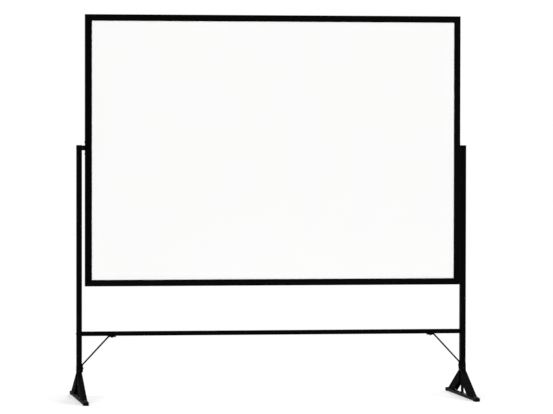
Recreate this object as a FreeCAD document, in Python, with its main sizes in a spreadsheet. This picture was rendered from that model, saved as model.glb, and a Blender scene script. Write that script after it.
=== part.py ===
import FreeCAD, Part
import os
import Sketcher

# A free-standing reversible projection board. A flat white panel in a black frame hangs at the
# middle of its sides between two uprights and turns right over on two friction pivots.
# The pivots sit a little above the board's middle, so the board hangs upright by itself, and
# the left one has the longer collar, so the board hangs a little right of the stand's middle.
# The uprights stand on triangulated feet and are tied by a stretcher with corner braces.
# X runs along the board, Y to the back and Z up. The origin lies on the floor, midway between
# the two feet. Sizes are millimetres.

SIZES = {
    # Panel: two coated skins on a batten frame with a honeycomb filling
    "panel_width": 1500,
    "panel_height": 1060,
    "skin_thickness": 3,
    "core_thickness": 20,
    "batten_width": 30,
    # Frame rails: a hollow chamber with two lips that grip the panel's edge
    "rail_face": 26,
    "rail_wall": 2,
    "lip_length": 10,
    "edge_gap": 0.6,
    "groove_clearance": 0.15,
    "rail_round": 2,
    # Corner keys inside the chambers, each held by two set screws
    "key_leg": 70,
    "key_clearance": 0.15,
    "key_screw_inset": 48,
    "key_screw_diameter": 5,
    "key_screw_length": 9,
    "key_screw_socket": 2.5,
    "key_screw_socket_depth": 3,
    # Pivots
    "pivot_height": 1014,
    "pivot_offset": 10,
    "left_gap": 14,
    "right_gap": 4,
    "pivot_diameter": 8,
    "pivot_head_diameter": 12,
    "pivot_head_height": 4,
    "pivot_socket": 5,
    "pivot_socket_depth": 2.5,
    "running_clearance": 0.05,
    "face_clearance": 0.15,
    "bush_diameter": 11,
    "bush_reach": 4,
    "bush_flange_diameter": 20,
    "bush_flange_thickness": 2,
    "collar_diameter": 20,
    "washer_diameter": 12,
    "washer_thickness": 1.4,
    "block_length": 70,
    "block_screw_spread": 23,
    "block_screw_diameter": 5,
    "block_screw_length": 9,
    "block_screw_head_diameter": 9,
    "block_screw_head_top": 7,
    "block_screw_head_height": 2.4,
    "block_screw_socket": 3,
    "block_screw_socket_depth": 1.5,
    # Uprights with their end fittings
    "upright_width": 20,
    "upright_depth": 40,
    "upright_wall": 1.5,
    "upright_round": 2.5,
    "upright_above_pivot": 9,
    "cap_flange": 2.5,
    "cap_skirt": 2,
    "cap_round": 1.2,
    "access_diameter": 13,
    "access_flange_diameter": 15,
    "access_flange_thickness": 1.5,
    "access_plug_depth": 2.5,
    "plug_clearance": 0.1,
    "plug_flange": 2,
    "plug_above_bolt": 14,
    # Stretcher
    "stretcher_size": 18,
    "stretcher_wall": 1.5,
    "stretcher_round": 2,
    "stretcher_height": 266.5,
    "stretcher_plug_length": 30,
    "stretcher_thread": 22,
    # Corner braces
    "brace_run": 108,
    "brace_tab": 30,
    "brace_width": 14,
    "brace_thickness": 5,
    "brace_bolt_rise": 21,
    "brace_screw_length": 8,
    # Feet
    "foot_apex": 106,
    "base_length": 596,
    "base_width": 20,
    "base_height": 12,
    "base_wall": 1.5,
    "base_round": 2,
    "strap_cap_gap": 2,
    "strap_tab": 30,
    "strap_foot_tab": 26,
    "strap_width": 20,
    "strap_thickness": 3,
    "strap_bolt_rise": 11,
    "strap_flange": 2.5,
    "strap_flange_drop": 42,
    "strap_flange_gap": 0.5,
    "bend_round": 3,
    "post_diameter": 12,
    "post_insert": 6,
    "foot_cap_wall": 1.5,
    "foot_cap_length": 24,
    "foot_cap_round": 2.5,
    # Bolts, nuts and rivet nuts of the stand
    "bolt_diameter": 6,
    "bolt_clearance": 0.1,
    "bolt_head_diameter": 11,
    "bolt_head_top": 7,
    "bolt_head_height": 2.6,
    "bolt_socket": 4,
    "bolt_socket_depth": 1.6,
    "nut_width": 10,
    "nut_thickness": 5,
    "bolt_past_nut": 2,
    "rivet_nut_diameter": 9,
    "rivet_nut_bulge": 11.5,
    "rivet_nut_length": 8,
}

# Formulas that several pieces share
PANEL_THICKNESS = "(Sizes.core_thickness + 2 * Sizes.skin_thickness)"
GROOVE_WIDTH = f"({PANEL_THICKNESS} + 2 * Sizes.groove_clearance)"
FRAME_DEPTH = f"({GROOVE_WIDTH} + 2 * Sizes.rail_wall)"
LIP_COVER = "(Sizes.lip_length - Sizes.edge_gap)"
CHAMBER = "(Sizes.rail_face - Sizes.lip_length - 2 * Sizes.rail_wall)"
KEY_SECTION = f"({CHAMBER} - 2 * Sizes.key_clearance)"
KEY_DEPTH = f"({GROOVE_WIDTH} - 2 * Sizes.key_clearance)"
BOARD_X = "((Sizes.left_gap - Sizes.right_gap) / 2)"
BOARD_Z = "(Sizes.pivot_height - Sizes.pivot_offset)"
OPEN_X = f"(Sizes.panel_width / 2 - {LIP_COVER})"
OPEN_Z = f"(Sizes.panel_height / 2 - {LIP_COVER})"
OUTER_X = f"({OPEN_X} + Sizes.rail_face)"
OUTER_Z = f"({OPEN_Z} + Sizes.rail_face)"
UPRIGHT_INNER = f"({OUTER_X} + (Sizes.left_gap + Sizes.right_gap) / 2)"
UPRIGHT_X = f"({UPRIGHT_INNER} + Sizes.upright_width / 2)"
UPRIGHT_TOP = "(Sizes.pivot_height + Sizes.upright_above_pivot)"
UPRIGHT_HOLLOW_X = "(Sizes.upright_width - 2 * Sizes.upright_wall)"
UPRIGHT_HOLLOW_Y = "(Sizes.upright_depth - 2 * Sizes.upright_wall)"
BUSH_END = "(Sizes.upright_wall + Sizes.bush_reach)"
WASHER_START = f"({BUSH_END} + Sizes.face_clearance)"
PIVOT_HEAD_START = f"({WASHER_START} + Sizes.washer_thickness)"
BASE_TOP = "(Sizes.foot_cap_wall + Sizes.base_height)"
STRAP_BOLT_Z = "(Sizes.foot_apex + Sizes.strap_bolt_rise)"
BRACE_BOLT_Z = "(Sizes.foot_apex + Sizes.brace_bolt_rise)"
STRETCHER_UNDERSIDE = "(Sizes.stretcher_height - Sizes.stretcher_size / 2)"
BRACE_RISE = f"({STRETCHER_UNDERSIDE} - {BRACE_BOLT_Z} - Sizes.brace_tab / 2)"
BRACE_SCREW_X = f"({UPRIGHT_INNER} - Sizes.brace_run - Sizes.brace_tab / 2)"
STRAP_RISE = f"(Sizes.foot_apex - {BASE_TOP})"
STRAP_END = "(Sizes.base_length / 2 - Sizes.foot_cap_length - Sizes.strap_cap_gap)"
STRAP_RUN = f"({STRAP_END} - Sizes.strap_foot_tab - Sizes.upright_depth / 2)"
FOOT_BOLT_Y = f"({STRAP_END} - Sizes.strap_foot_tab / 2)"
BOLT_HOLE = "(Sizes.bolt_diameter + 2 * Sizes.bolt_clearance)"

X_AXIS = FreeCAD.Vector(1, 0, 0)
Y_AXIS = FreeCAD.Vector(0, 1, 0)
Z_AXIS = FreeCAD.Vector(0, 0, 1)
NO_TURN = FreeCAD.Rotation()
SIDES = {"left": -1, "right": 1}
ENDS = {"front": -1, "rear": 1}
TOLERANCE = 1e-4

document = FreeCAD.newDocument("ReversibleBoard")
sheet = document.addObject("Spreadsheet::Sheet", "Sizes")
for row, (alias, size) in enumerate(SIZES.items(), start=1):
    sheet.set(f"A{row}", alias)
    sheet.set(f"B{row}", str(size))
    sheet.setAlias(f"B{row}", alias)
document.recompute()

pieces = []


# Helpers for sketches, features and places

def value(formula):
    return float(sheet.evalExpression(formula))


def turn(axis, degrees):
    return FreeCAD.Rotation(axis, degrees)


def named(kind, label):
    piece = document.addObject(kind, label)
    piece.Label = label
    return piece


def handed_in(piece):
    pieces.append(piece)
    return piece


def place(piece, x, y, z, rotation=NO_TURN):
    piece.Placement = FreeCAD.Placement(FreeCAD.Vector(), rotation)
    for letter, formula in zip("xyz", (x, y, z)):
        piece.setExpression(f"Placement.Base.{letter}", formula)


def new_sketch(body, role, offset="0"):
    plane = next(item for item in body.Origin.OriginFeatures if item.Role == role)
    sketch = body.newObject("Sketcher::SketchObject", f"{body.Name}_sketch")
    sketch.AttachmentSupport = [(plane, "")]
    sketch.MapMode = "FlatFace"
    sketch.setExpression("AttachmentOffset.Base.z", offset)
    return sketch


def bind_constraint(sketch, kind, where, formula):
    index = sketch.addConstraint(Sketcher.Constraint(kind, *where, value(formula)))
    sketch.setExpression(f"Constraints[{index}]", formula)


def pin_point(sketch, geometry, point, x, y):
    bind_constraint(sketch, "DistanceX", (-1, 1, geometry, point), x)
    bind_constraint(sketch, "DistanceY", (-1, 1, geometry, point), y)


def draw_outline(sketch, corners):
    first = sketch.GeometryCount
    count = len(corners)
    points = [FreeCAD.Vector(value(x), value(y), 0) for x, y in corners]
    for index in range(count):
        sketch.addGeometry(Part.LineSegment(points[index], points[(index + 1) % count]))
    for index, (x, y) in enumerate(corners):
        following = first + (index + 1) % count
        sketch.addConstraint(Sketcher.Constraint("Coincident", first + index, 2, following, 1))
        pin_point(sketch, first + index, 1, x, y)


def draw_rectangle(sketch, x_from, x_to, y_from, y_to):
    draw_outline(sketch, [(x_from, y_from), (x_to, y_from), (x_to, y_to), (x_from, y_to)])


def draw_centred(sketch, width, height):
    draw_rectangle(sketch, f"-{width} / 2", f"{width} / 2", f"-{height} / 2", f"{height} / 2")


def draw_circle(sketch, x, y, diameter):
    centre = FreeCAD.Vector(value(x), value(y), 0)
    circle = sketch.addGeometry(Part.Circle(centre, Z_AXIS, value(diameter) / 2))
    pin_point(sketch, circle, 3, x, y)
    bind_constraint(sketch, "Diameter", (circle,), diameter)


def draw_hexagon(sketch, flats):
    half = f"({flats} / 2)"
    corner = f"({flats} / sqrt(3))"
    side = f"({flats} / sqrt(3) / 2)"
    draw_outline(sketch, [
        (corner, "0"), (side, half), (f"-{side}", half),
        (f"-{corner}", "0"), (f"-{side}", f"-{half}"), (side, f"-{half}"),
    ])


def pad(body, sketch, length, side="One side", backwards=False):
    feature = body.newObject("PartDesign::Pad", f"{body.Name}_pad")
    feature.Profile = sketch
    feature.SideType = side
    feature.Reversed = backwards
    feature.setExpression("Length", length)
    return feature


def pocket(body, sketch, length=None, side="One side", backwards=False):
    document.recompute()
    before = body.Shape.Volume
    feature = body.newObject("PartDesign::Pocket", f"{body.Name}_pocket")
    feature.Profile = sketch
    feature.SideType = side
    feature.Reversed = backwards
    if length is None:
        feature.Type = "ThroughAll"
    else:
        feature.setExpression("Length", length)
    document.recompute()
    if body.Shape.Volume > before - TOLERANCE:
        raise RuntimeError(f"{feature.Name} cuts nothing from {body.Label}")
    return feature


def drill(body, role, holes, diameter, offset="0", length=None, side="One side", backwards=False):
    sketch = new_sketch(body, role, offset)
    for x, y in holes:
        draw_circle(sketch, x, y, diameter)
    return pocket(body, sketch, length, side, backwards)


def round_edges(body, feature, radius, chosen):
    document.recompute()
    names = [f"Edge{index}" for index, edge in enumerate(feature.Shape.Edges, start=1) if chosen(edge)]
    fillet = body.newObject("PartDesign::Fillet", f"{body.Name}_round")
    fillet.Base = (feature, names)
    fillet.setExpression("Radius", radius)
    return fillet


def edge_runs(edge, axis):
    if not isinstance(edge.Curve, Part.Line):
        return False
    return abs(edge.Curve.Direction.dot(axis)) > 1 - TOLERANCE


def turned(label, profile):
    body = named("PartDesign::Body", label)
    sketch = new_sketch(body, "XZ_Plane")
    draw_outline(sketch, profile)
    feature = body.newObject("PartDesign::Revolution", f"{label}_turned")
    feature.Profile = sketch
    feature.ReferenceAxis = (sketch, ["H_Axis"])
    return body


def ring(label, start, end, bore, diameter):
    inner = f"({bore} / 2)"
    outer = f"({diameter} / 2)"
    return turned(label, [(start, inner), (end, inner), (end, outer), (start, outer)])


def slab(label, size, corner):
    box = handed_in(named("Part::Box", label))
    for name, formula in zip(("Length", "Width", "Height"), size):
        box.setExpression(name, formula)
    place(box, *corner)


def square_tube(body, role, width, height, wall, length, radius, axis):
    sketch = new_sketch(body, role)
    draw_centred(sketch, width, height)
    bar = pad(body, sketch, length, "Symmetric")
    round_edges(body, bar, radius, lambda edge: edge_runs(edge, axis))
    hollow = new_sketch(body, role)
    draw_centred(hollow, f"({width} - 2 * {wall})", f"({height} - 2 * {wall})")
    pocket(body, hollow, side="Symmetric")


# A headed screw lies along X: its head's seat is at zero, its shank points to +X.
def headed_screw(label, prefix, shank_diameter, shank_length):
    head = f"Sizes.{prefix}_head_height"
    base = f"Sizes.{prefix}_head_diameter / 2"
    top = f"Sizes.{prefix}_head_top / 2"
    shank = f"{shank_diameter} / 2"
    body = turned(label, [
        (f"-{head}", "0"), (shank_length, "0"), (shank_length, shank),
        ("0", shank), ("0", base), (f"-{head}", top),
    ])
    socket = new_sketch(body, "YZ_Plane", f"-{head}")
    draw_hexagon(socket, f"Sizes.{prefix}_socket")
    pocket(body, socket, f"Sizes.{prefix}_socket_depth", backwards=True)
    return body


# Identical fasteners are placed copies of one pattern piece, kept together as one group.
def fastener_group(label, pattern, places):
    copies = []
    for number, (x, y, z, rotation) in enumerate(places, start=1):
        copy = named("App::Link", f"{label}_{number}")
        copy.LinkedObject = pattern
        place(copy, x, y, z, rotation)
        copies.append(copy)
    group = handed_in(named("Part::Compound", label))
    group.Links = copies


# Panel

def make_panel():
    half_core = "Sizes.core_thickness / 2"
    left = f"{BOARD_X} - Sizes.panel_width / 2"
    bottom = f"{BOARD_Z} - Sizes.panel_height / 2"
    skin = ("Sizes.panel_width", "Sizes.skin_thickness", "Sizes.panel_height")
    slab("front_skin", skin, (left, f"-{half_core} - Sizes.skin_thickness", bottom))
    slab("rear_skin", skin, (left, half_core, bottom))

    inside_width = "(Sizes.panel_width - 2 * Sizes.batten_width)"
    inside_height = "(Sizes.panel_height - 2 * Sizes.batten_width)"
    inside_bottom = f"{bottom} + Sizes.batten_width"
    across = ("Sizes.panel_width", "Sizes.core_thickness", "Sizes.batten_width")
    upright = ("Sizes.batten_width", "Sizes.core_thickness", inside_height)
    slab("bottom_batten", across, (left, f"-{half_core}", bottom))
    slab("top_batten", across, (left, f"-{half_core}", f"{inside_bottom} + {inside_height}"))
    slab("left_batten", upright, (left, f"-{half_core}", inside_bottom))
    slab("right_batten", upright, (f"{BOARD_X} + {inside_width} / 2", f"-{half_core}", inside_bottom))
    filling = (inside_width, "Sizes.core_thickness", inside_height)
    slab("honeycomb_core", filling, (f"{BOARD_X} - {inside_width} / 2", f"-{half_core}", inside_bottom))


# Frame: each rail lies along X with its outer face up, and is mitred at both ends.
def make_rail(label, length, rotation, x, z, pivot=None):
    body = handed_in(named("PartDesign::Body", label))
    half = f"{length} / 2"
    face = new_sketch(body, "XZ_Plane")
    draw_outline(face, [
        (f"-{half} + Sizes.rail_face", "0"), (f"{half} - Sizes.rail_face", "0"),
        (half, "Sizes.rail_face"), (f"-{half}", "Sizes.rail_face"),
    ])
    bar = pad(body, face, FRAME_DEPTH, "Symmetric")
    outer = value("Sizes.rail_face")
    round_edges(
        body, bar, "Sizes.rail_round",
        lambda edge: edge_runs(edge, X_AXIS) and edge.BoundBox.ZMin > outer - TOLERANCE,
    )
    hollows = new_sketch(body, "YZ_Plane")
    groove = (f"-{GROOVE_WIDTH} / 2", f"{GROOVE_WIDTH} / 2")
    draw_rectangle(hollows, *groove, "-Sizes.lip_length", "Sizes.lip_length")
    chamber_start = "Sizes.lip_length + Sizes.rail_wall"
    draw_rectangle(hollows, *groove, chamber_start, "Sizes.rail_face - Sizes.rail_wall")
    pocket(body, hollows, side="Symmetric")

    def drill_outer_wall(positions, diameter):
        holes = [(position, "0") for position in positions]
        drill(body, "XY_Plane", holes, diameter, "Sizes.rail_face", "Sizes.rail_wall")

    inset = f"({half} - Sizes.key_screw_inset)"
    drill_outer_wall((inset, f"-{inset}"), "Sizes.key_screw_diameter + 2 * Sizes.bolt_clearance")
    if pivot:
        drill_outer_wall((pivot,), "Sizes.pivot_diameter + 2 * Sizes.bolt_clearance")
        spread = (f"{pivot} + Sizes.block_screw_spread", f"{pivot} - Sizes.block_screw_spread")
        drill_outer_wall(spread, "Sizes.block_screw_diameter + 2 * Sizes.bolt_clearance")
    place(body, x, "0", z, rotation)


def make_frame():
    across = f"(2 * {OUTER_X})"
    upright = f"(2 * {OUTER_Z})"
    make_rail("top_rail", across, NO_TURN, BOARD_X, f"{BOARD_Z} + {OPEN_Z}")
    make_rail("bottom_rail", across, turn(Y_AXIS, 180), BOARD_X, f"{BOARD_Z} - {OPEN_Z}")
    for side, sign in SIDES.items():
        pivot = f"{-sign} * Sizes.pivot_offset"
        x = f"{BOARD_X} + {sign} * {OPEN_X}"
        make_rail(f"{side}_stile", upright, turn(Y_AXIS, 90 * sign), x, BOARD_Z, pivot)


# Corner keys: an L in the chambers of two rails, drawn for the top right corner.
def make_corner_keys():
    near = "-Sizes.key_clearance"
    far = f"({near} - {KEY_SECTION})"
    end = "-Sizes.key_leg"
    hole = "-(Sizes.key_screw_inset - Sizes.rail_wall)"
    thread = "Sizes.key_screw_diameter + 2 * Sizes.bolt_clearance"
    corners = {
        "top_right": (1, 1, 0), "top_left": (-1, 1, -90),
        "bottom_right": (1, -1, 90), "bottom_left": (-1, -1, 180),
    }
    for corner, (along, up, degrees) in corners.items():
        body = handed_in(named("PartDesign::Body", f"{corner}_corner_key"))
        shape = new_sketch(body, "XZ_Plane")
        draw_outline(shape, [(near, near), (end, near), (end, far), (far, far), (far, end), (near, end)])
        pad(body, shape, KEY_DEPTH, "Symmetric")
        drill(body, "XY_Plane", [(hole, "0")], thread, side="Symmetric")
        drill(body, "YZ_Plane", [("0", hole)], thread, side="Symmetric")
        x = f"{BOARD_X} + {along} * ({OUTER_X} - Sizes.rail_wall)"
        z = f"{BOARD_Z} + {up} * ({OUTER_Z} - Sizes.rail_wall)"
        place(body, x, "0", z, turn(Y_AXIS, degrees))


# Set screws: flush with the rail's outer face at zero, pointing to +X.
def make_key_screws():
    length = "Sizes.key_screw_length"
    radius = "Sizes.key_screw_diameter / 2"
    pattern = turned("key_screw", [("0", "0"), (length, "0"), (length, radius), ("0", radius)])
    socket = new_sketch(pattern, "YZ_Plane")
    draw_hexagon(socket, "Sizes.key_screw_socket")
    pocket(pattern, socket, "Sizes.key_screw_socket_depth", backwards=True)

    places = []
    for along in SIDES.values():
        for up in SIDES.values():
            x = f"{BOARD_X} + {along} * {OUTER_X}"
            x_inset = f"{BOARD_X} + {along} * ({OUTER_X} - Sizes.key_screw_inset)"
            z = f"{BOARD_Z} + {up} * {OUTER_Z}"
            z_inset = f"{BOARD_Z} + {up} * ({OUTER_Z} - Sizes.key_screw_inset)"
            places.append((x_inset, "0", z, turn(Y_AXIS, 90 * up)))
            places.append((x, "0", z_inset, turn(Z_AXIS, 90 + 90 * along)))
    fastener_group("corner_key_screws", pattern, places)


# Pivots: each fitting is drawn along X for the right side, the block from the stile's outer face
# and the others from the upright's inner face.
def make_pivot_block(side, sign):
    body = handed_in(named("PartDesign::Body", f"{side}_pivot_block"))
    sketch = new_sketch(body, "YZ_Plane", "-(Sizes.rail_wall + Sizes.key_clearance)")
    draw_centred(sketch, KEY_DEPTH, "Sizes.block_length")
    pad(body, sketch, KEY_SECTION, backwards=True)
    bolt_thread = "Sizes.pivot_diameter + 2 * Sizes.running_clearance"
    drill(body, "YZ_Plane", [("0", "0")], bolt_thread)
    screw_thread = "Sizes.block_screw_diameter + 2 * Sizes.bolt_clearance"
    holes = [("0", "Sizes.block_screw_spread"), ("0", "-Sizes.block_screw_spread")]
    drill(body, "YZ_Plane", holes, screw_thread)
    place_at_pivot(body, sign, f"{BOARD_X} + {sign} * {OUTER_X}")


def place_at_pivot(piece, sign, x):
    place(piece, x, "0", "Sizes.pivot_height", turn(Z_AXIS, 90 - 90 * sign))


def place_by_upright(piece, sign):
    place_at_pivot(piece, sign, f"{sign} * {UPRIGHT_INNER}")


def make_pivot_bolt(side, sign):
    tip = f"-(Sizes.{side}_gap + Sizes.rail_wall + Sizes.key_clearance + {KEY_SECTION})"
    head_end = f"({PIVOT_HEAD_START} + Sizes.pivot_head_height)"
    shank = "Sizes.pivot_diameter / 2"
    head = "Sizes.pivot_head_diameter / 2"
    body = handed_in(turned(f"{side}_pivot_bolt", [
        (tip, "0"), (head_end, "0"), (head_end, head),
        (PIVOT_HEAD_START, head), (PIVOT_HEAD_START, shank), (tip, shank),
    ]))
    socket = new_sketch(body, "YZ_Plane", head_end)
    draw_hexagon(socket, "Sizes.pivot_socket")
    pocket(body, socket, "Sizes.pivot_socket_depth")
    place_by_upright(body, sign)


def make_pivot_bush(side, sign):
    bore = "(Sizes.pivot_diameter / 2 + Sizes.running_clearance)"
    start = "-Sizes.bush_flange_thickness"
    flange = "Sizes.bush_flange_diameter / 2"
    barrel = "Sizes.bush_diameter / 2"
    body = handed_in(turned(f"{side}_pivot_bush", [
        (start, bore), (BUSH_END, bore), (BUSH_END, barrel),
        ("0", barrel), ("0", flange), (start, flange),
    ]))
    place_by_upright(body, sign)


def make_pivots():
    bore = "(Sizes.pivot_diameter + 2 * Sizes.running_clearance)"
    collar_end = "-(Sizes.bush_flange_thickness + Sizes.face_clearance)"
    screw = headed_screw(
        "block_screw", "block_screw", "Sizes.block_screw_diameter", "Sizes.block_screw_length",
    )
    screw_places = []
    for side, sign in SIDES.items():
        make_pivot_block(side, sign)
        make_pivot_bolt(side, sign)
        make_pivot_bush(side, sign)
        collar_start = f"-Sizes.{side}_gap"
        collar = ring(f"{side}_pivot_collar", collar_start, collar_end, bore, "Sizes.collar_diameter")
        washer = ring(
            f"{side}_thrust_washer", WASHER_START, PIVOT_HEAD_START, bore, "Sizes.washer_diameter",
        )
        for piece in (collar, washer):
            place_by_upright(handed_in(piece), sign)
        for up in SIDES.values():
            z = f"Sizes.pivot_height + {up} * Sizes.block_screw_spread"
            x = f"{BOARD_X} + {sign} * {OUTER_X}"
            screw_places.append((x, "0", z, turn(Z_AXIS, 90 + 90 * sign)))
    fastener_group("pivot_block_screws", screw, screw_places)


# Uprights: drawn for the right side, with the board towards -X, and turned round for the left.
def place_on_upright(piece, sign, z="0"):
    place(piece, f"{sign} * {UPRIGHT_X}", "0", z, turn(Z_AXIS, 90 - 90 * sign))


def make_upright(side, sign):
    body = handed_in(named("PartDesign::Body", f"{side}_upright"))
    outside = new_sketch(body, "XY_Plane", "Sizes.foot_apex")
    draw_centred(outside, "Sizes.upright_width", "Sizes.upright_depth")
    bar = pad(body, outside, f"{UPRIGHT_TOP} - Sizes.foot_apex")
    round_edges(body, bar, "Sizes.upright_round", lambda edge: edge_runs(edge, Z_AXIS))
    hollow = new_sketch(body, "XY_Plane")
    draw_centred(hollow, UPRIGHT_HOLLOW_X, UPRIGHT_HOLLOW_Y)
    pocket(body, hollow, side="Symmetric")
    pivot = [("0", "Sizes.pivot_height")]
    drill(body, "YZ_Plane", pivot, "Sizes.bush_diameter + 2 * Sizes.plug_clearance")
    drill(body, "YZ_Plane", pivot, "Sizes.access_diameter + 2 * Sizes.plug_clearance", backwards=True)
    drill(body, "YZ_Plane", [("0", "Sizes.stretcher_height")], BOLT_HOLE, side="Symmetric")
    drill(body, "YZ_Plane", [("0", BRACE_BOLT_Z)], BOLT_HOLE)
    drill(body, "XZ_Plane", [("0", STRAP_BOLT_Z)], BOLT_HOLE, side="Symmetric")
    place_on_upright(body, sign)


def draw_plug_section(sketch):
    width = f"({UPRIGHT_HOLLOW_X} - 2 * Sizes.plug_clearance)"
    depth = f"({UPRIGHT_HOLLOW_Y} - 2 * Sizes.plug_clearance)"
    draw_centred(sketch, width, depth)


def make_upright_cap(side, sign):
    body = handed_in(named("PartDesign::Body", f"{side}_upright_cap"))
    top = new_sketch(body, "XY_Plane")
    draw_centred(top, "Sizes.upright_width", "Sizes.upright_depth")
    flange = pad(body, top, "Sizes.cap_flange")
    corners = round_edges(body, flange, "Sizes.upright_round", lambda edge: edge_runs(edge, Z_AXIS))
    crown = value("Sizes.cap_flange") - TOLERANCE
    round_edges(body, corners, "Sizes.cap_round", lambda edge: edge.BoundBox.ZMin > crown)
    skirt = new_sketch(body, "XY_Plane")
    draw_plug_section(skirt)
    pad(body, skirt, "Sizes.cap_skirt", backwards=True)
    place_on_upright(body, sign, UPRIGHT_TOP)


def make_access_plug(side, sign):
    face = "(Sizes.upright_width / 2)"
    crown = f"({face} + Sizes.access_flange_thickness)"
    depth = f"({face} - Sizes.access_plug_depth)"
    flange = "Sizes.access_flange_diameter / 2"
    rim = "(Sizes.access_flange_diameter / 2 - Sizes.access_flange_thickness)"
    barrel = "Sizes.access_diameter / 2"
    body = handed_in(turned(f"{side}_access_plug", [
        (depth, "0"), (crown, "0"), (crown, rim), (face, flange), (face, barrel), (depth, barrel),
    ]))
    place_on_upright(body, sign, "Sizes.pivot_height")


# The lower plug closes the upright, stands on the foot's post and takes the bolts.
def make_upright_plug(side, sign):
    body = handed_in(named("PartDesign::Body", f"{side}_upright_plug"))
    rim = new_sketch(body, "XY_Plane")
    draw_centred(rim, "Sizes.upright_width", "Sizes.upright_depth")
    flange = pad(body, rim, "Sizes.plug_flange", backwards=True)
    round_edges(body, flange, "Sizes.upright_round", lambda edge: edge_runs(edge, Z_AXIS))
    core = new_sketch(body, "XY_Plane")
    draw_plug_section(core)
    pad(body, core, "Sizes.brace_bolt_rise + Sizes.plug_above_bolt")
    post_hole = "Sizes.post_diameter + 2 * Sizes.plug_clearance"
    drill(
        body, "XY_Plane", [("0", "0")], post_hole,
        "-Sizes.plug_flange", "Sizes.post_insert", backwards=True,
    )
    drill(body, "XZ_Plane", [("0", "Sizes.strap_bolt_rise")], BOLT_HOLE, side="Symmetric")
    drill(body, "YZ_Plane", [("0", "Sizes.brace_bolt_rise")], BOLT_HOLE)
    place_on_upright(body, sign, "Sizes.foot_apex")


def make_uprights():
    for side, sign in SIDES.items():
        make_upright(side, sign)
        make_upright_cap(side, sign)
        make_access_plug(side, sign)
        make_upright_plug(side, sign)


# Stretcher: a square tube between the uprights, with a threaded plug in each end.
def make_stretcher():
    body = handed_in(named("PartDesign::Body", "stretcher"))
    square_tube(
        body, "YZ_Plane", "Sizes.stretcher_size", "Sizes.stretcher_size", "Sizes.stretcher_wall",
        f"2 * {UPRIGHT_INNER}", "Sizes.stretcher_round", X_AXIS,
    )
    holes = [(BRACE_SCREW_X, "0"), (f"-{BRACE_SCREW_X}", "0")]
    underside = "-Sizes.stretcher_size / 2"
    drill(body, "XY_Plane", holes, BOLT_HOLE, underside, "Sizes.stretcher_wall", backwards=True)
    place(body, "0", "0", "Sizes.stretcher_height")

    section = "(Sizes.stretcher_size - 2 * Sizes.stretcher_wall - 2 * Sizes.plug_clearance)"
    for side, sign in SIDES.items():
        plug = handed_in(named("PartDesign::Body", f"{side}_stretcher_plug"))
        square = new_sketch(plug, "YZ_Plane")
        draw_centred(square, section, section)
        pad(plug, square, "Sizes.stretcher_plug_length", backwards=True)
        drill(plug, "YZ_Plane", [("0", "0")], BOLT_HOLE)
        turned_round = turn(Z_AXIS, 90 - 90 * sign)
        place(plug, f"{sign} * {UPRIGHT_INNER}", "0", "Sizes.stretcher_height", turned_round)

    bolt = headed_screw(
        "stretcher_bolt", "bolt", "Sizes.bolt_diameter", "Sizes.upright_width + Sizes.stretcher_thread",
    )
    outer_face = f"({UPRIGHT_INNER} + Sizes.upright_width)"
    fastener_group("stretcher_bolts", bolt, [
        (f"{sign} * {outer_face}", "0", "Sizes.stretcher_height", turn(Z_AXIS, 90 + 90 * sign))
        for sign in SIDES.values()
    ])


# A strap bent at both ends spans the corner of an upright face along Z and a level face along X.
# The corner is at zero, and the two tabs lie on those faces.
def bent_strap(label, run, rise, upright_tab, level_tab, upright_hole, width, thickness):
    body = handed_in(named("PartDesign::Body", label))
    slope = f"atan({rise} / {run})"
    upright_end = f"({rise} + {upright_tab})"
    level_end = f"({run} + {level_tab})"
    level_bend = f"({run} + {thickness} * tan({slope} / 2))"
    upright_bend = f"({rise} + {thickness} * tan((90deg - {slope}) / 2))"
    edge = new_sketch(body, "XZ_Plane")
    draw_outline(edge, [
        ("0", upright_end), ("0", rise), (run, "0"), (level_end, "0"),
        (level_end, thickness), (level_bend, thickness),
        (thickness, upright_bend), (thickness, upright_end),
    ])
    bar = pad(body, edge, width, "Symmetric")
    bends = [("0", rise), (run, "0"), (level_bend, thickness), (thickness, upright_bend)]
    spots = [FreeCAD.Vector(value(x), 0, value(z)) for x, z in bends]

    def is_bend(line):
        middle = line.BoundBox.Center
        return edge_runs(line, Y_AXIS) and any(middle.distanceToPoint(spot) < TOLERANCE for spot in spots)

    round_edges(body, bar, "Sizes.bend_round", is_bend)
    drill(body, "YZ_Plane", [("0", upright_hole)], BOLT_HOLE, side="Symmetric")
    drill(body, "XY_Plane", [(f"{run} + {level_tab} / 2", "0")], BOLT_HOLE, side="Symmetric")
    return body


def make_braces():
    for side, sign in SIDES.items():
        brace = bent_strap(
            f"{side}_brace", "Sizes.brace_run", BRACE_RISE, "Sizes.brace_tab", "Sizes.brace_tab",
            f"{BRACE_RISE} + Sizes.brace_tab / 2", "Sizes.brace_width", "Sizes.brace_thickness",
        )
        flipped = turn(Y_AXIS, 180) if sign > 0 else turn(X_AXIS, 180)
        place(brace, f"{sign} * {UPRIGHT_INNER}", "0", STRETCHER_UNDERSIDE, flipped)

    bolt_length = "Sizes.brace_thickness + Sizes.upright_width / 2 - Sizes.plug_clearance"
    bolt = headed_screw("brace_bolt", "bolt", "Sizes.bolt_diameter", bolt_length)
    seat_x = f"({UPRIGHT_INNER} - Sizes.brace_thickness)"
    fastener_group("brace_bolts", bolt, [
        (f"{sign} * {seat_x}", "0", BRACE_BOLT_Z, turn(Z_AXIS, 90 - 90 * sign))
        for sign in SIDES.values()
    ])
    screw = headed_screw("brace_screw", "bolt", "Sizes.bolt_diameter", "Sizes.brace_screw_length")
    seat_z = f"{STRETCHER_UNDERSIDE} - Sizes.brace_thickness"
    fastener_group("brace_screws", screw, [
        (f"{sign} * {BRACE_SCREW_X}", "0", seat_z, turn(Y_AXIS, -90)) for sign in SIDES.values()
    ])


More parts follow.
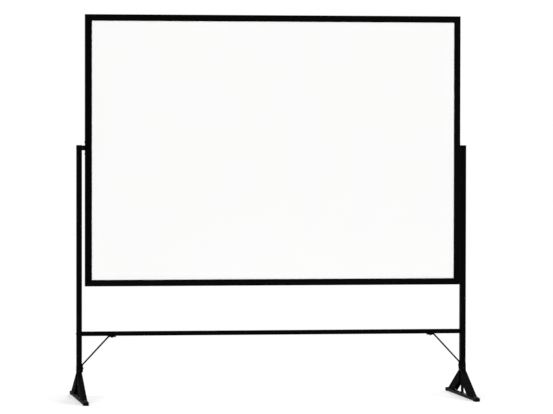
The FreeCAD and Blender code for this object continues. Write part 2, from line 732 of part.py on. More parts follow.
# Feet: a flat tube along Y, two straps up to the upright and a post in the middle.
def make_foot_base(side, sign):
    body = handed_in(named("PartDesign::Body", f"{side}_foot_base"))
    square_tube(
        body, "XZ_Plane", "Sizes.base_width", "Sizes.base_height", "Sizes.base_wall",
        "Sizes.base_length", "Sizes.base_round", Y_AXIS,
    )
    top = "Sizes.base_height / 2"
    post_hole = "Sizes.post_diameter + 2 * Sizes.plug_clearance"
    drill(body, "XY_Plane", [("0", "0")], post_hole, top, "Sizes.base_wall")
    nut_holes = [("0", FOOT_BOLT_Y), ("0", f"-{FOOT_BOLT_Y}")]
    nut_hole = "Sizes.rivet_nut_diameter + 2 * Sizes.bolt_clearance"
    drill(body, "XY_Plane", nut_holes, nut_hole, top, "Sizes.base_wall")
    place(body, f"{sign} * {UPRIGHT_X}", "0", f"{BASE_TOP} - Sizes.base_height / 2")


def make_foot_post(side, sign):
    post = handed_in(named("Part::Cylinder", f"{side}_foot_post"))
    bottom = "(Sizes.foot_cap_wall + Sizes.base_wall)"
    post.setExpression("Radius", "Sizes.post_diameter / 2")
    post.setExpression("Height", f"Sizes.foot_apex - Sizes.plug_flange + Sizes.post_insert - {bottom}")
    place(post, f"{sign} * {UPRIGHT_X}", "0", bottom)


# A foot cap is drawn with its closed end at zero and slides on along +Y.
def make_foot_cap(side, sign, end, direction):
    body = handed_in(named("PartDesign::Body", f"{side}_{end}_foot_cap"))
    wall = "Sizes.foot_cap_wall"
    block = new_sketch(body, "XZ_Plane")
    half = f"(Sizes.base_width / 2 + {wall})"
    draw_rectangle(block, f"-{half}", half, "0", f"Sizes.base_height + 2 * {wall}")
    bar = pad(body, block, f"Sizes.foot_cap_length + {wall}", backwards=True)
    round_edges(
        body, bar, "Sizes.foot_cap_round",
        lambda edge: edge_runs(edge, Y_AXIS) or edge.BoundBox.YMax < TOLERANCE,
    )
    hollow = new_sketch(body, "XZ_Plane", f"-{wall}")
    fit = "Sizes.plug_clearance"
    inside = f"(Sizes.base_width / 2 + {fit})"
    draw_rectangle(hollow, f"-{inside}", inside, f"{wall} - {fit}", f"{BASE_TOP} + {fit}")
    pocket(body, hollow)
    y = f"{direction} * (Sizes.base_length / 2 + {wall})"
    place(body, f"{sign} * {UPRIGHT_X}", y, "0", turn(Z_AXIS, 90 + 90 * direction))


def make_foot_strap(side, sign, end, direction):
    strap = bent_strap(
        f"{side}_{end}_strap", STRAP_RUN, STRAP_RISE, "Sizes.strap_tab", "Sizes.strap_foot_tab",
        f"{STRAP_RISE} + Sizes.strap_bolt_rise", "Sizes.strap_width", "Sizes.strap_thickness",
    )
    turn_down_edges(strap)
    y = f"{direction} * Sizes.upright_depth / 2"
    place(strap, f"{sign} * {UPRIGHT_X}", y, BASE_TOP, turn(Z_AXIS, 90 * direction))


# Both long edges of a foot's strap are turned in below its slope, which makes the leg a channel.
def turn_down_edges(strap):
    start = "Sizes.bend_round"
    foot = "Sizes.strap_flange_gap"
    top = f"({STRAP_RISE} * (1 - {start} / {STRAP_RUN}))"
    end = f"({STRAP_RUN} * (1 - {foot} / {STRAP_RISE}))"
    low_end = f"({STRAP_RUN} * (1 - ({foot} + Sizes.strap_flange_drop) / {STRAP_RISE}))"
    edge = "(Sizes.strap_width - Sizes.strap_flange) / 2"
    for sign in SIDES.values():
        flange = new_sketch(strap, "XZ_Plane", f"{sign} * {edge}")
        low_top = f"{top} - Sizes.strap_flange_drop"
        draw_outline(flange, [(start, top), (end, foot), (low_end, foot), (start, low_top)])
        pad(strap, flange, "Sizes.strap_flange", "Symmetric")


def make_strap_bolts():
    clamped = "(Sizes.upright_depth + 2 * Sizes.strap_thickness)"
    length = f"{clamped} + Sizes.nut_thickness + Sizes.bolt_past_nut"
    bolt = headed_screw("strap_bolt", "bolt", "Sizes.bolt_diameter", length)
    nut = named("PartDesign::Body", "strap_nut")
    hexagon = new_sketch(nut, "YZ_Plane")
    draw_hexagon(hexagon, "Sizes.nut_width")
    draw_circle(hexagon, "0", "0", BOLT_HOLE)
    pad(nut, hexagon, "Sizes.nut_thickness")
    along_y = turn(Z_AXIS, 90)
    uprights = [f"{sign} * {UPRIGHT_X}" for sign in SIDES.values()]
    fastener_group("strap_bolts", bolt, [(x, f"-{clamped} / 2", STRAP_BOLT_Z, along_y) for x in uprights])
    fastener_group("strap_nuts", nut, [(x, f"{clamped} / 2", STRAP_BOLT_Z, along_y) for x in uprights])


def make_foot_bolts():
    grip = "(Sizes.strap_thickness + Sizes.rivet_nut_length)"
    bolt = headed_screw("foot_bolt", "bolt", "Sizes.bolt_diameter", grip)
    bore = f"({BOLT_HOLE} / 2)"
    wall = "(Sizes.base_wall + Sizes.bolt_clearance)"
    neck = "Sizes.rivet_nut_diameter / 2"
    bulge = "Sizes.rivet_nut_bulge / 2"
    crimp_end = f"({wall} + Sizes.rivet_nut_bulge / 2 - Sizes.rivet_nut_diameter / 2)"
    rivet_nut = turned("rivet_nut", [
        ("0", bore), ("Sizes.rivet_nut_length", bore), ("Sizes.rivet_nut_length", neck),
        (crimp_end, neck), (wall, bulge), (wall, neck), ("0", neck),
    ])
    down = turn(Y_AXIS, 90)
    spots = [
        (f"{sign} * {UPRIGHT_X}", f"{direction} * {FOOT_BOLT_Y}")
        for sign in SIDES.values() for direction in ENDS.values()
    ]
    head_seat = f"{BASE_TOP} + Sizes.strap_thickness"
    fastener_group("foot_bolts", bolt, [(x, y, head_seat, down) for x, y in spots])
    fastener_group("foot_rivet_nuts", rivet_nut, [(x, y, BASE_TOP, down) for x, y in spots])


def make_feet():
    for side, sign in SIDES.items():
        make_foot_base(side, sign)
        make_foot_post(side, sign)
        for end, direction in ENDS.items():
            make_foot_cap(side, sign, end, direction)
            make_foot_strap(side, sign, end, direction)
    make_strap_bolts()
    make_foot_bolts()


def check_and_write():
    document.recompute()
    failed = [item.Name for item in document.Objects if {"Invalid", "Error"} & set(item.State)]
    for piece in pieces:
        if piece.Shape.isNull() or not piece.Shape.isValid():
            failed.append(piece.Label)
    if failed:
        raise RuntimeError(f"failed: {failed}")
    os.makedirs("parts", exist_ok=True)
    for piece in pieces:
        piece.Shape.exportStep(f"parts/{piece.Label}.step")
        print(piece.Label, len(piece.Shape.Solids), round(piece.Shape.Volume))
    print(len(pieces), "pieces")


make_panel()
make_frame()
make_corner_keys()
make_key_screws()
make_pivots()
make_uprights()
make_stretcher()
make_braces()
make_feet()
check_and_write()
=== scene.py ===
import math
import random
import bmesh
import bpy
from mathutils import Matrix, Vector


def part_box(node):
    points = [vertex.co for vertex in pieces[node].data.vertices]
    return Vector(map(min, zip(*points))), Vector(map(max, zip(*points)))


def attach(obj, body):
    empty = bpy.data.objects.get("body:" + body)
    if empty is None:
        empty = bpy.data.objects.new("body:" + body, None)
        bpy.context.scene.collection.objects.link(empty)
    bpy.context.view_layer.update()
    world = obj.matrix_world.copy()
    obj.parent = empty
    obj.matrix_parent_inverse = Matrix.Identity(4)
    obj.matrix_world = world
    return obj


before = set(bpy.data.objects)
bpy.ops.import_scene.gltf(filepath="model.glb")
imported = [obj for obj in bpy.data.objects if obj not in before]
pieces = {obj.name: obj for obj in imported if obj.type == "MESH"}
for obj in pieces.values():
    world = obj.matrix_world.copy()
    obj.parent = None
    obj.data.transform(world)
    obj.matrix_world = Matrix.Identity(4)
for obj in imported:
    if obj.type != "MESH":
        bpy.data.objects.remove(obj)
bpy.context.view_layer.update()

# Flip-over projection board on its stand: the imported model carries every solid,
# this script gives it finishes, the post welds, the studio and the photo's camera.
scene = bpy.context.scene
scene.view_settings.view_transform = "Standard"
print("loaded", len(pieces), "pieces")


# small node helpers, all patterns are in object metres so they keep their real size

noStretch = (1, 1, 1)
alongX, alongY, alongZ = (30, 1, 1), (1, 30, 1), (1, 1, 30)     # patterns that run with a tube or rail
fullSpan = (0.0, 1.0)
noiseSpan = (0.3, 0.7)                                          # most of the noise lies in here
mixSockets = {"FLOAT": (2, 3, 0), "RGBA": (6, 7, 2)}            # a Mix node's first, second and result


def addNode(tree, kind, **settings):
    node = tree.nodes.new("ShaderNode" + kind)
    for name, setting in settings.items():
        setattr(node, name, setting)
    return node


def feed(tree, socket, source):
    # another node's output, a colour or a plain number
    if isinstance(source, bpy.types.NodeSocket):
        tree.links.new(source, socket)
    elif isinstance(source, tuple):
        socket.default_value = (*source, 1)
    else:
        socket.default_value = source


def clearTree(owner):
    owner.use_nodes = True
    owner.node_tree.nodes.clear()
    return owner.node_tree


def startFinish(name):
    finish = bpy.data.materials.new(name)
    tree = clearTree(finish)
    shader = addNode(tree, "BsdfPrincipled")
    output = addNode(tree, "OutputMaterial")
    tree.links.new(shader.outputs["BSDF"], output.inputs["Surface"])
    return finish, tree, shader


def dress(tree, shader, tone, rough, normal):
    feed(tree, shader.inputs["Base Color"], tone)
    feed(tree, shader.inputs["Roughness"], rough)
    feed(tree, shader.inputs["Normal"], normal)


def pulled(tree, stretch):
    # object coordinates for a pattern that is pulled out along an axis
    coords = addNode(tree, "TexCoord")
    mapping = addNode(tree, "Mapping")
    mapping.inputs["Scale"].default_value = [1 / pull for pull in stretch]
    tree.links.new(coords.outputs["Object"], mapping.inputs["Vector"])
    return mapping.outputs["Vector"]


def spots(tree, size, octaves, stretch=noStretch):
    # soft noise, size is one spot in metres
    noise = addNode(tree, "TexNoise")
    noise.inputs["Scale"].default_value = 1 / size
    noise.inputs["Detail"].default_value = octaves
    tree.links.new(pulled(tree, stretch), noise.inputs["Vector"])
    return noise.outputs["Fac"]


def fit(tree, source, span, target=fullSpan):
    # smooth ramp: what lies in the span comes out in the target
    ramp = addNode(tree, "MapRange", interpolation_type="SMOOTHSTEP")
    for name, value in zip(("From Min", "From Max", "To Min", "To Max"), (*span, *target)):
        ramp.inputs[name].default_value = value
    tree.links.new(source, ramp.inputs["Value"])
    return ramp.outputs["Result"]


def calculate(tree, operation, first, second):
    node = addNode(tree, "Math", operation=operation)
    feed(tree, node.inputs[0], first)
    feed(tree, node.inputs[1], second)
    return node.outputs[0]


def times(tree, first, second):
    return calculate(tree, "MULTIPLY", first, second)


def larger(tree, first, second):
    return calculate(tree, "MAXIMUM", first, second)


def blend(tree, kind, amount, first, second):
    mix = addNode(tree, "Mix", data_type=kind)
    firstIn, secondIn, result = mixSockets[kind]
    feed(tree, mix.inputs[0], amount)
    feed(tree, mix.inputs[firstIn], first)
    feed(tree, mix.inputs[secondIn], second)
    return mix.outputs[result]


def mixTones(tree, amount, first, second):
    return blend(tree, "RGBA", amount, first, second)


def mixValues(tree, amount, first, second):
    return blend(tree, "FLOAT", amount, first, second)


def mixShaders(tree, amount, first, second):
    mix = addNode(tree, "MixShader")
    for socket, source in zip(mix.inputs, (amount, first, second)):
        tree.links.new(source, socket)
    return mix.outputs[0]


edgeLook = {"samples": 6, "turn": (0.995, 0.86)}     # cosine of the turn, from flat to a full arris


def softEdge(tree, radius):
    # rounds the sharp arrises in the shading and tells where they are
    soft = addNode(tree, "Bevel", samples=edgeLook["samples"])
    soft.inputs["Radius"].default_value = radius
    surface = addNode(tree, "NewGeometry")
    dot = addNode(tree, "VectorMath", operation="DOT_PRODUCT")
    tree.links.new(soft.outputs["Normal"], dot.inputs[0])
    tree.links.new(surface.outputs["Normal"], dot.inputs[1])
    return soft.outputs["Normal"], fit(tree, dot.outputs["Value"], edgeLook["turn"])


def upFacing(tree, tilt):
    # the piece's own normal, so the dust and the painted top sheen stay put when the board is flipped
    coords = addNode(tree, "TexCoord")
    split = addNode(tree, "SeparateXYZ")
    tree.links.new(coords.outputs["Normal"], split.inputs[0])
    return fit(tree, split.outputs["Z"], tilt)


def press(tree, height, depth, normal=None):
    # bump with its depth in metres, over another normal where there is one
    bump = addNode(tree, "Bump")
    bump.inputs["Distance"].default_value = depth
    tree.links.new(height, bump.inputs["Height"])
    if normal is not None:
        tree.links.new(normal, bump.inputs["Normal"])
    return bump.outputs["Normal"]


# black coats: satin powder coat with orange peel, rubbed arrises, and settled dust on up-facing faces
# that is partly a painted lighter top sheen

def blackCoat(name, look):
    finish, tree, shader = startFinish(name)
    patches = fit(tree, spots(tree, *look["patches"], look["run"]), look["patchSpan"])
    streaks = spots(tree, *look["streaks"], look["run"])
    peel = spots(tree, *look["peel"])
    edgeNormal, edge = softEdge(tree, look["edgeRadius"])
    rubs = fit(tree, spots(tree, *look["rubs"]), look["rubSpan"], (0.0, look["rubbed"]))
    rubbed = times(tree, edge, rubs)
    specks = fit(tree, spots(tree, *look["specks"]), look["speckSpan"], (0.0, look["dustAndSheen"]))
    # painted highlight: up-facing faces come out lighter, partly settled dust and partly a painted sheen
    # from the light above
    dustAndSheen = times(tree, upFacing(tree, look["dustAndSheenTilt"]), specks)

    tone = mixTones(tree, patches, look["tone"], look["toneLight"])
    tone = mixTones(tree, rubbed, tone, look["rubbedTone"])
    tone = mixTones(tree, dustAndSheen, tone, look["dustAndSheenTone"])
    rough = fit(tree, streaks, noiseSpan, look["rough"])
    rough = mixValues(tree, rubbed, rough, look["rough"][0] - look["polish"])
    rough = mixValues(tree, dustAndSheen, rough, look["dustRough"])
    normal = press(tree, peel, look["peelDepth"], edgeNormal)
    normal = press(tree, streaks, look["streakDepth"], normal)
    dress(tree, shader, tone, rough, normal)
    shader.inputs["Specular IOR Level"].default_value = look["shine"]
    return finish


coatLook = {     # what all of them share, a pattern is the size of its spots in metres and its octaves
    "patches": (0.09, 3.0), "patchSpan": (0.35, 0.65),
    "streaks": (0.004, 2.0), "streakDepth": 0.00001,
    "rubs": (0.012, 4.0), "rubSpan": (0.42, 0.68), "polish": 0.06,
    "specks": (0.02, 5.0), "speckSpan": (0.3, 0.75), "dustAndSheenTilt": (0.35, 0.95), "dustRough": 0.85,
}
railLook = {     # frame rails: smooth satin coat on a drawn profile
    **coatLook, "tone": (0.0013, 0.0013, 0.0014), "toneLight": (0.0027, 0.0027, 0.0029),
    "rubbedTone": (0.014, 0.013, 0.012), "rubbed": 0.45,
    # up-facing faces painted lighter, part settled dust and part painted sheen from the light above; the
    # tubes take the same
    "dustAndSheenTone": (0.110, 0.106, 0.100), "dustAndSheen": 0.34,
    "rough": (0.58, 0.68), "shine": 0.02, "edgeRadius": 0.0007,
    "peel": (0.0016, 1.0), "peelDepth": 0.00003, "run": alongX,
}
stileLook = {**railLook, "shine": 0.010, "run": alongZ}
tubeLook = {     # uprights: thicker coat on steel tube, more orange peel
    **railLook, "rough": (0.62, 0.74), "shine": 0.008,
    "peel": (0.0022, 1.0), "peelDepth": 0.00006, "rubbed": 0.7, "run": alongZ,
}
stretcherLook = {**tubeLook, "run": alongX}
footLook = {     # feet: patchy from kicks, with darker floor dust
    **tubeLook, "toneLight": (0.0048, 0.0047, 0.0046), "rough": (0.58, 0.74), "shine": 0.03,
    "dustAndSheenTone": (0.040, 0.038, 0.036), "dustAndSheen": 0.30, "run": alongY,
}
strapLook = {    # feet's legs: too steep for much dust
    **footLook, "toneLight": (0.0034, 0.0034, 0.0034), "rubbedTone": (0.022, 0.021, 0.020),
    "shine": 0.002, "dustAndSheen": 0.05, "peelDepth": 0.00005,
}
braceLook = {**strapLook, "toneLight": (0.0060, 0.0060, 0.0064), "run": noStretch}
collarLook = {**railLook, "rough": (0.50, 0.60), "run": noStretch}


# white faces: matt projection enamel, even, with a fine grain and faint wiped patches

def whiteFace(name, look):
    finish, tree, shader = startFinish(name)
    clouds = fit(tree, spots(tree, *look["clouds"]), look["cloudSpan"])
    wiped = fit(tree, spots(tree, *look["wipes"]), look["wipeSpan"])
    grain = spots(tree, *look["grain"])
    tone = mixTones(tree, clouds, look["tone"], look["toneWarm"])
    rough = fit(tree, wiped, fullSpan, look["rough"])
    dress(tree, shader, tone, rough, press(tree, grain, look["grainDepth"]))
    shader.inputs["Specular IOR Level"].default_value = look["shine"]
    return finish


faceLook = {     # wipes are pulled out along the board
    "tone": (0.962, 0.963, 0.965), "toneWarm": (0.967, 0.965, 0.953),
    "clouds": (0.22, 4.0), "cloudSpan": (0.36, 0.64),
    "wipes": (0.05, 3.0, (6, 1, 1.6)), "wipeSpan": (0.4, 0.7), "rough": (0.66, 0.78), "shine": 0.1,
    "grain": (0.0011, 2.0), "grainDepth": 0.00002,
}


# moulded plastic: fine spark texture, no gloss

def mouldedPlastic(name, look):
    finish, tree, shader = startFinish(name)
    flow = fit(tree, spots(tree, *look["flow"]), look["flowSpan"])
    spark = spots(tree, *look["spark"])
    edgeNormal, edge = softEdge(tree, look["edgeRadius"])
    scuffs = fit(tree, spots(tree, *look["scuffs"]), look["scuffSpan"], (0.0, look["scuffed"]))
    tone = mixTones(tree, flow, look["tone"], look["toneLight"])
    tone = mixTones(tree, times(tree, edge, scuffs), tone, look["scuffTone"])
    rough = fit(tree, spark, noiseSpan, look["rough"])
    dress(tree, shader, tone, rough, press(tree, spark, look["sparkDepth"], edgeNormal))
    shader.inputs["Specular IOR Level"].default_value = look["shine"]
    return finish


capLook = {      # upright caps, access plugs and foot caps
    "tone": (0.0024, 0.0024, 0.0026), "toneLight": (0.0042, 0.0042, 0.0044),
    "flow": (0.03, 3.0), "flowSpan": (0.35, 0.65), "edgeRadius": 0.0008,
    "scuffs": (0.006, 4.0), "scuffSpan": (0.45, 0.7), "scuffTone": (0.025, 0.024, 0.023), "scuffed": 0.5,
    "rough": (0.60, 0.74), "shine": 0.02, "spark": (0.0006, 2.0), "sparkDepth": 0.00004,
}
plugLook = {**capLook, "tone": (0.0100, 0.0100, 0.0100), "toneLight": (0.0160, 0.0160, 0.0160)}
bushLook = {     # nylon, waxier than the caps
    **capLook, "tone": (0.020, 0.020, 0.019), "toneLight": (0.028, 0.028, 0.026),
    "rough": (0.36, 0.46), "shine": 0.45, "sparkDepth": 0.00001,
}


# bare and plated metal

def metal(name, look):
    finish, tree, shader = startFinish(name)
    stains = fit(tree, spots(tree, *look["stains"]), look["stainSpan"])
    lines = spots(tree, *look["lines"], look["run"])
    edgeNormal, edge = softEdge(tree, look["edgeRadius"])
    tone = mixTones(tree, stains, look["tone"], look["stainTone"])
    tone = mixTones(tree, times(tree, edge, look["worn"]), tone, look["wornTone"])
    rough = fit(tree, lines, noiseSpan, look["rough"])
    dress(tree, shader, tone, rough, press(tree, lines, look["lineDepth"], edgeNormal))
    shader.inputs["Metallic"].default_value = look["metal"]
    return finish


screwLook = {    # blackened bolts and nuts, bright where a key has rubbed
    "tone": (0.010, 0.010, 0.011), "metal": 1.0, "rough": (0.34, 0.48), "edgeRadius": 0.0004,
    "stainTone": (0.017, 0.016, 0.015), "stains": (0.005, 4.0), "stainSpan": (0.35, 0.7),
    "wornTone": (0.060, 0.058, 0.055), "worn": 0.45,
    "lines": (0.0008, 2.0), "lineDepth": 0.00001, "run": noStretch,
}
zincLook = {     # pivot bolts and thrust washers
    **screwLook, "tone": (0.55, 0.55, 0.56), "stainTone": (0.46, 0.45, 0.43),
    "wornTone": (0.66, 0.66, 0.66), "rough": (0.26, 0.40), "run": alongX,
}
blockLook = {**zincLook, "tone": (0.46, 0.45, 0.44), "rough": (0.38, 0.52), "run": alongZ}
alloyLook = {    # corner keys
    **zincLook, "tone": (0.72, 0.72, 0.74), "stainTone": (0.62, 0.62, 0.63), "rough": (0.34, 0.46),
}
rivetLook = {**zincLook, "tone": (0.56, 0.52, 0.40), "stainTone": (0.48, 0.43, 0.31)}


# inside the panel: softwood battens and card honeycomb

def battenWood(name, look):
    finish, tree, shader = startFinish(name)
    rings = addNode(tree, "TexWave", bands_direction="DIAGONAL")
    for socket, value in look["rings"].items():
        rings.inputs[socket].default_value = value
    tree.links.new(pulled(tree, look["run"]), rings.inputs["Vector"])
    fibre = spots(tree, *look["fibre"], look["run"])
    fibreDark = fit(tree, fibre, look["fibreSpan"], (0.0, look["fibreShare"]))
    tone = mixTones(tree, rings.outputs["Fac"], look["tone"], look["lateTone"])
    tone = mixTones(tree, fibreDark, tone, look["fibreTone"])
    rough = fit(tree, fibre, noiseSpan, look["rough"])
    dress(tree, shader, tone, rough, press(tree, fibre, look["fibreDepth"]))
    return finish


battenLook = {
    "tone": (0.62, 0.46, 0.28), "lateTone": (0.48, 0.31, 0.16), "fibreTone": (0.36, 0.22, 0.11),
    "rings": {"Scale": 60.0, "Distortion": 5.0, "Detail": 3.0}, "rough": (0.62, 0.8), "run": alongX,
    "fibre": (0.0007, 3.0), "fibreSpan": (0.45, 0.8), "fibreShare": 0.5, "fibreDepth": 0.0001,
}
stileBattenLook = {**battenLook, "run": alongZ}


def cardCells(name, look):
    finish, tree, shader = startFinish(name)
    coords = addNode(tree, "TexCoord")
    cells = addNode(tree, "TexVoronoi", feature="DISTANCE_TO_EDGE")
    cells.inputs["Scale"].default_value = 1 / look["cellSize"]
    cells.inputs["Randomness"].default_value = look["uneven"]
    tree.links.new(coords.outputs["Object"], cells.inputs["Vector"])
    hollow = fit(tree, cells.outputs["Distance"], look["wallSpan"])     # 0 on a wall, 1 in a cell
    fibre = spots(tree, *look["fibre"])
    # painted shade: the cells come out darker than the paper walls, standing in for the shade in the
    # hollows
    inside = mixTones(tree, fit(tree, fibre, noiseSpan), look["tone"], look["shadeTone"])
    tone = mixTones(tree, hollow, look["wallTone"], inside)
    rough = fit(tree, fibre, noiseSpan, look["rough"])
    dress(tree, shader, tone, rough, press(tree, hollow, look["wallDepth"]))
    return finish


cardLook = {
    "tone": (0.46, 0.33, 0.20), "shadeTone": (0.38, 0.27, 0.16), "wallTone": (0.60, 0.46, 0.30),
    "cellSize": 0.014, "uneven": 0.35, "wallSpan": (0.03, 0.12), "wallDepth": 0.001,
    "fibre": (0.0012, 4.0, (3, 1, 1)), "rough": (0.8, 0.92),
}


# which piece gets which finish

coats = {
    "rail": blackCoat("railCoat", railLook),
    "stile": blackCoat("stileCoat", stileLook),
    "upright": blackCoat("uprightCoat", tubeLook),
    "stretcher": blackCoat("stretcherCoat", stretcherLook),
    "foot": blackCoat("footCoat", footLook),
    "strap": blackCoat("strapCoat", strapLook),
    "brace": blackCoat("braceCoat", braceLook),
    "collar": blackCoat("collarCoat", collarLook),
    "face": whiteFace("boardWhite", faceLook),
    "cap": mouldedPlastic("capPlastic", capLook),
    "plug": mouldedPlastic("plugPlastic", plugLook),
    "bush": mouldedPlastic("bushNylon", bushLook),
    "screw": metal("blackBolts", screwLook),
    "zinc": metal("zincSteel", zincLook),
    "block": metal("blockSteel", blockLook),
    "key": metal("keyAlloy", alloyLook),
    "rivet": metal("rivetSteel", rivetLook),
    "batten": battenWood("battenWood", battenLook),
    "sideBatten": battenWood("sideBattenWood", stileBattenLook),
    "card": cardCells("honeycombCard", cardLook),
}
wears = {        # the end of a piece's name picks its finish, the first match counts
    "left_batten": "sideBatten", "right_batten": "sideBatten", "batten": "batten",
    "honeycomb_core": "card", "skin": "face", "rail": "rail", "stile": "stile", "corner_key": "key",
    "pivot_block": "block", "pivot_bolt": "zinc", "thrust_washer": "zinc", "pivot_collar": "collar",
    "pivot_bush": "bush", "upright": "upright", "upright_cap": "cap", "access_plug": "cap",
    "upright_plug": "plug", "stretcher": "stretcher", "stretcher_plug": "plug", "brace": "brace",
    "foot_base": "foot", "foot_post": "foot", "foot_cap": "cap", "strap": "strap",
    "foot_rivet_nuts": "rivet", "screws": "screw", "bolts": "screw", "nuts": "screw",
}
for name, piece in pieces.items():
    coat = next(coats[finish] for ending, finish in wears.items() if name.endswith(ending))
    piece.data.materials.clear()
    piece.data.materials.append(coat)
print("finishes on", len(pieces), "pieces")


def addMesh(name, bm):
    mesh = bpy.data.meshes.new(name)
    bm.to_mesh(mesh)
    bm.free()
    made = bpy.data.objects.new(name, mesh)
    scene.collection.objects.link(made)
    return made


# weld round the foot of each post, one run of overlapping ripples

weldLook = {     # leg and sink in metres, the swing of ripple, wobble and bulge as shares of the leg
    "leg": 0.0026, "sink": 0.0002, "ripples": 22, "ripple": 0.16, "wobble": (0.9, 1.1),
    "bulge": (0.86, 0.14), "steps": 132, "crown": 5,
}


def beadSection(postRadius, leg):
    # from inside the joint to the toe on the base, then up to the toe on the post
    inner = postRadius - weldLook["sink"]
    level, swing = weldLook["bulge"]
    section = [(inner, -weldLook["sink"])]
    for point in range(weldLook["crown"] + 1):
        turn = math.pi / 2 * point / weldLook["crown"]
        bulge = level + swing * math.cos(4 * turn)     # hollow between the toes
        section.append((inner + leg * math.cos(turn) * bulge, leg * math.sin(turn) * bulge))
    return section


def postWeld(side):
    low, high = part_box(side + "_foot_post")
    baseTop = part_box(side + "_foot_base")[1].z
    centre = (low + high) / 2
    postRadius = (high.x - low.x) / 2
    dice = random.Random(side)
    wobble = [dice.uniform(*weldLook["wobble"]) for ripple in range(weldLook["ripples"])]
    bm = bmesh.new()
    rows = []
    for step in range(weldLook["steps"]):
        around = step / weldLook["steps"]
        place = around * weldLook["ripples"]
        swell = 1 + weldLook["ripple"] * (math.sin(math.pi * (place % 1)) - 0.5)
        leg = weldLook["leg"] * swell * wobble[int(place)]
        angle = around * 2 * math.pi
        rows.append([
            bm.verts.new((centre.x + r * math.cos(angle), centre.y + r * math.sin(angle), baseTop + z))
            for r, z in beadSection(postRadius, leg)
        ])
    for row, after in zip(rows, rows[1:] + rows[:1]):
        for point in range(len(row)):
            further = (point + 1) % len(row)
            bm.faces.new((row[point], after[point], after[further], row[further])).smooth = True
    bmesh.ops.recalc_face_normals(bm, faces=bm.faces)
    weld = addMesh(side + "_post_weld", bm)
    weld.data.materials.append(coats["foot"])
    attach(weld, "stand")


for side in ("left", "right"):
    postWeld(side)
print("post welds on")


# studio: pale floor that keeps the shadow, white cove behind, soft boxes all round

def seenRays(tree):
    # camera and transmission rays as one, glossy rays apart
    path = addNode(tree, "LightPath")
    direct = larger(tree, path.outputs["Is Camera Ray"], path.outputs["Is Transmission Ray"])
    return direct, path.outputs["Is Glossy Ray"]


floorLook = {    # metres, paper near the board that fades to plain white further out
    "radius": 9.0, "segments": 96, "drop": 0.0005, "fade": (1.1, 3.2),
    "tone": (0.60, 0.60, 0.60), "lift": 0.48,
}


def floorPaper(name, look):
    finish = bpy.data.materials.new(name)
    tree = clearTree(finish)
    seen = larger(tree, *seenRays(tree))
    paper = addNode(tree, "BsdfDiffuse")
    feed(tree, paper.inputs["Color"], look["tone"])
    lift = addNode(tree, "Emission")
    feed(tree, lift.inputs["Strength"], times(tree, seen, look["lift"]))
    near = addNode(tree, "AddShader")
    tree.links.new(paper.outputs[0], near.inputs[0])
    tree.links.new(lift.outputs[0], near.inputs[1])
    far = addNode(tree, "Emission")
    feed(tree, far.inputs["Strength"], seen)
    coords = addNode(tree, "TexCoord")
    reach = addNode(tree, "VectorMath", operation="LENGTH")
    tree.links.new(coords.outputs["Object"], reach.inputs[0])
    fade = fit(tree, reach.outputs["Value"], look["fade"])
    output = addNode(tree, "OutputMaterial")
    tree.links.new(mixShaders(tree, fade, near.outputs[0], far.outputs[0]), output.inputs["Surface"])
    return finish


def layFloor():
    bm = bmesh.new()
    bmesh.ops.create_circle(bm, cap_ends=True, segments=floorLook["segments"], radius=floorLook["radius"])
    floor = addMesh("studioFloor", bm)
    floor.location.z = -floorLook["drop"]
    floor.data.materials.append(floorPaper("floorPaper", floorLook))


roomLook = {     # cove is where its white starts and is full, by how far a ray points to the back
    "tone": (1, 1, 1), "fill": 0.36, "frontGloss": 0.12, "cove": (-0.5, 0.3), "lampAim": (0, 0, 0.95),
}


def lightRoom():
    world = bpy.data.worlds.new("studioRoom")
    scene.world = world
    tree = clearTree(world)
    direct, glossy = seenRays(tree)
    coords = addNode(tree, "TexCoord")
    split = addNode(tree, "SeparateXYZ")
    tree.links.new(coords.outputs["Generated"], split.inputs[0])
    # reflections show the white cove behind the board and a dim room in front of it
    cove = fit(tree, split.outputs["Y"], roomLook["cove"], (roomLook["frontGloss"], 1.0))
    lit = addNode(tree, "Background")
    backdrop = addNode(tree, "Background")
    for background in (lit, backdrop):
        feed(tree, background.inputs["Color"], roomLook["tone"])
    feed(tree, lit.inputs["Strength"], roomLook["fill"])
    feed(tree, backdrop.inputs["Strength"], larger(tree, direct, times(tree, glossy, cove)))
    room = mixShaders(tree, larger(tree, direct, glossy), lit.outputs[0], backdrop.outputs[0])
    output = addNode(tree, "OutputWorld")
    tree.links.new(room, output.inputs["Surface"])


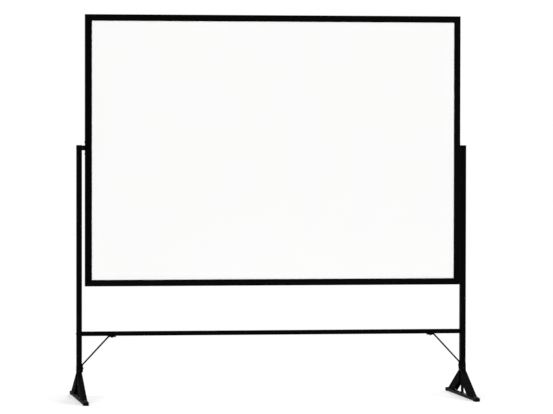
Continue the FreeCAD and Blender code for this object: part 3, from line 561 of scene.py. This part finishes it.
softBoxes = {    # place and size in metres, and watts, all aimed just below the board's middle
    "keyLeft": {"at": (-4.6, -6.0, 3.9), "size": 3.0, "watts": 311},
    "keyRight": {"at": (4.9, -5.8, 3.4), "size": 3.0, "watts": 279},
    "overhead": {"at": (0.0, -0.6, 5.6), "size": 4.0, "watts": 10},
    "backFill": {"at": (2.4, 6.6, 3.8), "size": 3.4, "watts": 372},
}


def hangSoftBox(name, box):
    lamp = bpy.data.lights.new(name, "AREA")
    lamp.size = box["size"]
    lamp.energy = box["watts"]
    hung = bpy.data.objects.new(name, lamp)
    hung.location = box["at"]
    aim = Vector(roomLook["lampAim"]) - hung.location
    hung.rotation_euler = aim.to_track_quat("-Z", "Y").to_euler()
    hung.visible_camera = False
    scene.collection.objects.link(hung)


layFloor()
lightRoom()
for name, box in softBoxes.items():
    hangSoftBox(name, box)
print("studio lit with", len(softBoxes), "soft boxes")


# camera: a long lens a little left of the middle, found by fitting the photo's corners

shotLook = {     # metres, degrees, and millimetres for lens and sensor
    "at": (-2.0856, -14.0007, 1.1219), "yaw": 8.538, "pitch": 1.404, "roll": 0.085,
    "lens": 227.565, "sensor": 36, "clipEnd": 100,
}


def setCamera():
    lens = bpy.data.cameras.new("shot")
    lens.lens = shotLook["lens"]
    lens.sensor_width = shotLook["sensor"]
    lens.clip_end = shotLook["clipEnd"]
    yaw, pitch, roll = (math.radians(shotLook[name]) for name in ("yaw", "pitch", "roll"))
    ahead = Vector((math.sin(yaw) * math.cos(pitch), math.cos(yaw) * math.cos(pitch), -math.sin(pitch)))
    level = Vector((math.cos(yaw), -math.sin(yaw), 0))     # across and upward before the roll
    plumb = level.cross(ahead)
    across = level * math.cos(roll) + plumb * math.sin(roll)
    upward = plumb * math.cos(roll) - level * math.sin(roll)
    turned = Matrix((across, upward, -ahead)).transposed().to_4x4()
    camera = bpy.data.objects.new("shot", lens)
    camera.matrix_world = Matrix.Translation(shotLook["at"]) @ turned
    scene.collection.objects.link(camera)
    scene.camera = camera


setCamera()
print("camera set")
